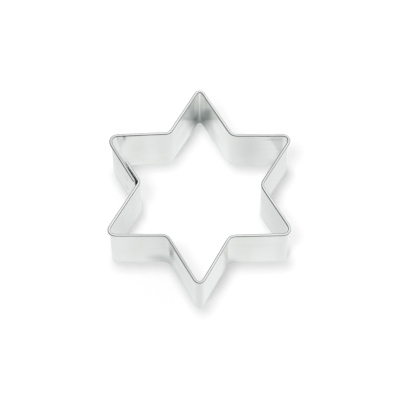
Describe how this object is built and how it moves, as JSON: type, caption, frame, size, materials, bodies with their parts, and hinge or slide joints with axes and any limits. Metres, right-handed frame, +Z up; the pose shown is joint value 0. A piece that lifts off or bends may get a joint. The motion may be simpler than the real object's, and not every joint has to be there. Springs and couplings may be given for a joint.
{
  "type": "cookie cutter",
  "caption": "Star-shaped cookie cutter bent from one tinplate strip, with an outward rolled rim and a spot-welded lap joint.",
  "frame": {"origin": "under the middle of the cutter's box, on the plane of the cutting edge", "axes": "+Z up from the cutting edge to the rolled rim, +Y towards the top tip, along the longest way across the star"},
  "size_m": [0.0652, 0.0752, 0.0254],
  "materials": {
    "tinplate": "gloss",
    "fused_tinplate": "satin"
  },
  "bodies": {
    "root": {"formed_strip": "tinplate", "spot_welds": "fused_tinplate"}
  },
  "joints": []
}
